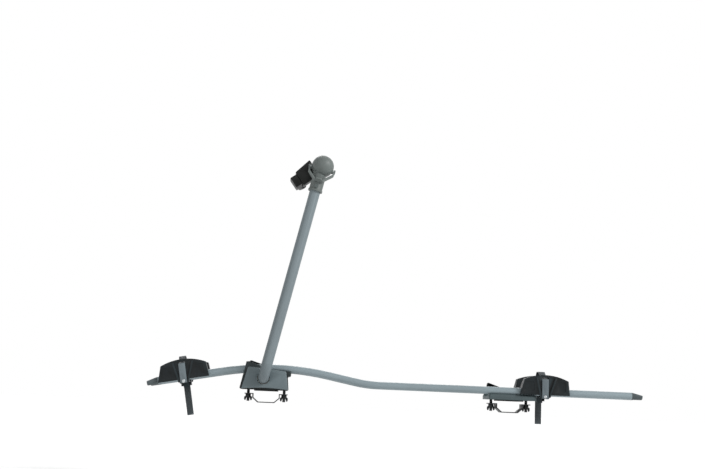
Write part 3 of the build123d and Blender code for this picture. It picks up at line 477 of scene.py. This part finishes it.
class CarrierStage(bpy.types.PropertyGroup):
    """The camera, the floor and the backdrop."""
    lens: bpy.props.FloatProperty(
        name="Lens", description="Focal length of the camera", default=55.13, unit="CAMERA")
    floor_drop: bpy.props.FloatProperty(
        name="Floor", description="How far the floor lies below the carrier's origin",
        default=0.26, unit="LENGTH")
    backdrop: bpy.props.FloatVectorProperty(
        name="Backdrop", description="Colour of the backdrop", subtype="COLOR",
        default=(1.0, 1.0, 1.0))
    floor_colour: bpy.props.FloatVectorProperty(
        name="Floor colour", description="How pale the floor looks", subtype="COLOR",
        default=(1.2, 1.2, 1.2), soft_max=2.0)


# Operators, one for each group of pieces

class CARRIER_OT_rail(bpy.types.Operator):
    """Dress the rail tubes and their end plugs"""
    bl_idname = "carrier.rail"
    bl_label = "Rail"

    def execute(self, context):
        sizes = context.scene.carrier_sizes
        for side in ("near", "far"):
            smooth_node(f"rail_tube_{side}")
            for end in ("front", "rear"):
                softened(f"{end}_plug_{side}", sizes.moulded_edge)
        return {"FINISHED"}


class CARRIER_OT_base(bpy.types.Operator):
    """Dress the front base, its covers and its fin"""
    bl_idname = "carrier.base"
    bl_label = "Base"

    def execute(self, context):
        sizes = context.scene.carrier_sizes
        for node in ("base_housing", "base_near_cover", "base_far_cover"):
            softened(node, sizes.moulded_edge)
        housing_fin(sizes.fin_thickness, sizes.moulded_edge)
        for node in ("pivot_bush_near", "pivot_bush_far", "base_tube_screws", "front_seat_pad"):
            smooth_node(node)
        return {"FINISHED"}


class CARRIER_OT_bracket(bpy.types.Operator):
    """Dress the rear bracket and its cover"""
    bl_idname = "carrier.bracket"
    bl_label = "Rear bracket"

    def execute(self, context):
        sizes = context.scene.carrier_sizes
        for node in ("rear_bracket", "rear_far_cover"):
            softened(node, sizes.moulded_edge)
        for node in ("rear_tube_screws", "rear_seat_pad"):
            smooth_node(node)
        return {"FINISHED"}


class CARRIER_OT_clamps(bpy.types.Operator):
    """Dress the bolts, stirrups and wing nuts"""
    bl_idname = "carrier.clamps"
    bl_label = "Clamps"

    def execute(self, context):
        sizes = context.scene.carrier_sizes
        maker, colour = THREADED
        threaded = maker("clamp_bolt_thread", srgb(*colour))
        for end in ("front", "rear"):
            dress(softened(f"{end}_stirrup", sizes.pressed_edge), finish_of("black_steel"))
            dress(frame["nodes"][f"{end}_clamp_bolts"], threaded)
            for number in (1, 2):
                softened(f"{end}_wing_nut_{number}", sizes.pressed_edge)
        return {"FINISHED"}


class CARRIER_OT_arm(bpy.types.Operator):
    """Dress the arm and what holds its axle"""
    bl_idname = "carrier.arm"
    bl_label = "Arm"

    def execute(self, context):
        for node in ("arm_tube", "axle_plug", "axle_washer", "axle_bolt"):
            smooth_node(node)
        return {"FINISHED"}


class CARRIER_OT_head(bpy.types.Operator):
    """Dress the clamp head, its lever and its jaws"""
    bl_idname = "carrier.head"
    bl_label = "Clamp head"

    def execute(self, context):
        sizes = context.scene.carrier_sizes
        for node in ("head_half_near", "head_half_far", "clamp_lever", "jaw_guide", "outer_claw"):
            softened(node, sizes.moulded_edge)
        for node in ("lever_pin", "clamp_shoe", "inner_pad", "outer_pad", "guide_screws"):
            smooth_node(node)
        dress(frame["nodes"]["arm_bolt"], finish_of("painted_steel"))
        return {"FINISHED"}


class CARRIER_OT_trays(bpy.types.Operator):
    """Dress the trays, their straps and locks"""
    bl_idname = "carrier.trays"
    bl_label = "Trays"

    def execute(self, context):
        sizes = context.scene.carrier_sizes
        for end in ("front", "rear"):
            softened(f"{end}_tray", sizes.moulded_edge)
            softened(f"{end}_strap", sizes.pressed_edge)
            softened(f"{end}_strap_lock", sizes.pressed_edge)
            for node in ("strap_rivet", "strap_pawl", "pawl_pin"):
                smooth_node(f"{end}_{node}")
        return {"FINISHED"}


# The stage, in metres

STAGE_MIDDLE_X = 0.3
FLOOR_SIZE = 60.0
FLOOR_SHADE = (0.8, 0.8, 0.8, 1.0)
FLOOR_ROUGHNESS = 0.9
BACKDROP_LIGHT = 0.38
BACKDROP_SEEN = 1.0
LAMP_AIM = Vector((STAGE_MIDDLE_X, 0.0, 0.15))
# Each lamp's place, its spread in degrees and its strength
LAMPS = {
    "key": ((3.3, -1.9, 2.1), 24.0, 2.35),
    "fill": ((-1.2, -2.6, 1.0), 40.0, 0.25),
    "rim": ((0.2, 2.6, 2.2), 36.0, 0.85),
}
CAMERA_PLACE = Vector((61.7, -3065.0, -19.6)) * MM
CAMERA_TURN = [math.radians(angle) for angle in (98.804, -2.363, -3.381)]
CAMERA_SENSOR = 36.0
CAMERA_REACH = 100.0


class CARRIER_OT_stage(bpy.types.Operator):
    """Set up the floor, the lamps and the camera"""
    bl_idname = "carrier.stage"
    bl_label = "Stage"

    def execute(self, context):
        stage = context.scene.carrier_stage
        make_floor(stage)
        make_world(context.scene, stage)
        make_lamps()
        make_camera(context.scene, stage)
        context.scene.view_settings.view_transform = "Standard"
        return {"FINISHED"}


def seen_share(nodes, links):
    """1 where the camera or a reflection looks, and 0 for the light itself."""
    path = nodes.new("ShaderNodeLightPath")
    share = path.outputs["Is Camera Ray"]
    for name in ("Is Glossy Ray", "Is Transmission Ray"):
        either = nodes.new("ShaderNodeMath")
        either.operation = "MAXIMUM"
        links.new(share, either.inputs[0])
        links.new(path.outputs[name], either.inputs[1])
        share = either.outputs["Value"]
    return share


def make_floor(stage):
    """A wide white floor below the carrier, which keeps its shadow."""
    bpy.ops.object.select_all(action="DESELECT")
    place = (STAGE_MIDDLE_X, 0.0, -stage.floor_drop)
    bpy.ops.mesh.primitive_plane_add(size=FLOOR_SIZE, location=place)
    floor = bpy.context.active_object
    floor.name = "floor"
    material = bpy.data.materials.new("floor")
    material.use_nodes = True
    nodes, links = material.node_tree.nodes, material.node_tree.links
    shader = nodes["Principled BSDF"]
    shader.inputs["Base Color"].default_value = FLOOR_SHADE
    shader.inputs["Roughness"].default_value = FLOOR_ROUGHNESS
    paper = nodes.new("ShaderNodeBsdfDiffuse")
    paper.inputs["Color"].default_value = (*stage.floor_colour, 1.0)
    mix = nodes.new("ShaderNodeMixShader")
    links.new(seen_share(nodes, links), mix.inputs["Fac"])
    links.new(shader.outputs["BSDF"], mix.inputs[1])
    links.new(paper.outputs["BSDF"], mix.inputs[2])
    links.new(mix.outputs["Shader"], nodes["Material Output"].inputs["Surface"])
    dress(floor, material)


def make_world(scene, stage):
    """A white backdrop that lights the object at a plain level."""
    world = bpy.data.worlds.new("backdrop")
    world.use_nodes = True
    nodes, links = world.node_tree.nodes, world.node_tree.links
    shader = nodes["Background"]
    strength = nodes.new("ShaderNodeMapRange")
    strength.inputs["To Min"].default_value = BACKDROP_LIGHT
    strength.inputs["To Max"].default_value = BACKDROP_SEEN
    links.new(seen_share(nodes, links), strength.inputs["Value"])
    links.new(strength.outputs["Result"], shader.inputs["Strength"])
    shader.inputs["Color"].default_value = (*stage.backdrop, 1.0)
    scene.world = world


def make_lamp(name, place, spread, strength):
    """A wide soft lamp, as even on the floor as on the carrier."""
    light = bpy.data.lights.new(name, "SUN")
    light.angle = math.radians(spread)
    light.energy = strength
    lamp = bpy.data.objects.new(name, light)
    bpy.context.scene.collection.objects.link(lamp)
    lamp.location = place
    aim = LAMP_AIM - Vector(place)
    lamp.rotation_euler = aim.to_track_quat("-Z", "Y").to_euler()


def make_lamps():
    """The key, the fill and the rim."""
    for name, (place, spread, strength) in LAMPS.items():
        make_lamp(name, place, spread, strength)


def make_camera(scene, stage):
    """The camera at the photograph's viewing angle."""
    data = bpy.data.cameras.new("camera")
    data.lens = stage.lens
    data.sensor_width = CAMERA_SENSOR
    data.clip_end = CAMERA_REACH
    camera = bpy.data.objects.new("camera", data)
    scene.collection.objects.link(camera)
    camera.location = CAMERA_PLACE
    camera.rotation_euler = CAMERA_TURN
    scene.camera = camera


class CARRIER_PT_panel(bpy.types.Panel):
    """Lists the carrier's operators and sizes"""
    bl_idname = "CARRIER_PT_panel"
    bl_label = "Roof Bike Carrier"
    bl_space_type = "VIEW_3D"
    bl_region_type = "UI"
    bl_category = "Carrier"

    def draw(self, context):
        layout = self.layout
        for group in (context.scene.carrier_sizes, context.scene.carrier_stage):
            for name in group.__annotations__:
                layout.prop(group, name)
        for operator in OPERATORS:
            layout.operator(operator.bl_idname)


OPERATORS = (
    CARRIER_OT_rail,
    CARRIER_OT_base,
    CARRIER_OT_bracket,
    CARRIER_OT_clamps,
    CARRIER_OT_arm,
    CARRIER_OT_head,
    CARRIER_OT_trays,
    CARRIER_OT_stage,
)
CLASSES = (CarrierSizes, CarrierStage, *OPERATORS, CARRIER_PT_panel)


def register():
    """Registers the classes and their settings."""
    for kind in CLASSES:
        bpy.utils.register_class(kind)
    bpy.types.Scene.carrier_sizes = bpy.props.PointerProperty(type=CarrierSizes)
    bpy.types.Scene.carrier_stage = bpy.props.PointerProperty(type=CarrierStage)


def unregister():
    """Takes the classes and their settings away."""
    del bpy.types.Scene.carrier_stage
    del bpy.types.Scene.carrier_sizes
    for kind in reversed(CLASSES):
        bpy.utils.unregister_class(kind)


def main():
    """Builds the whole scene."""
    register()
    bpy.ops.carrier.rail()
    bpy.ops.carrier.base()
    bpy.ops.carrier.bracket()
    bpy.ops.carrier.clamps()
    bpy.ops.carrier.arm()
    bpy.ops.carrier.head()
    bpy.ops.carrier.trays()
    bpy.ops.carrier.stage()


if __name__ == "__main__":
    main()
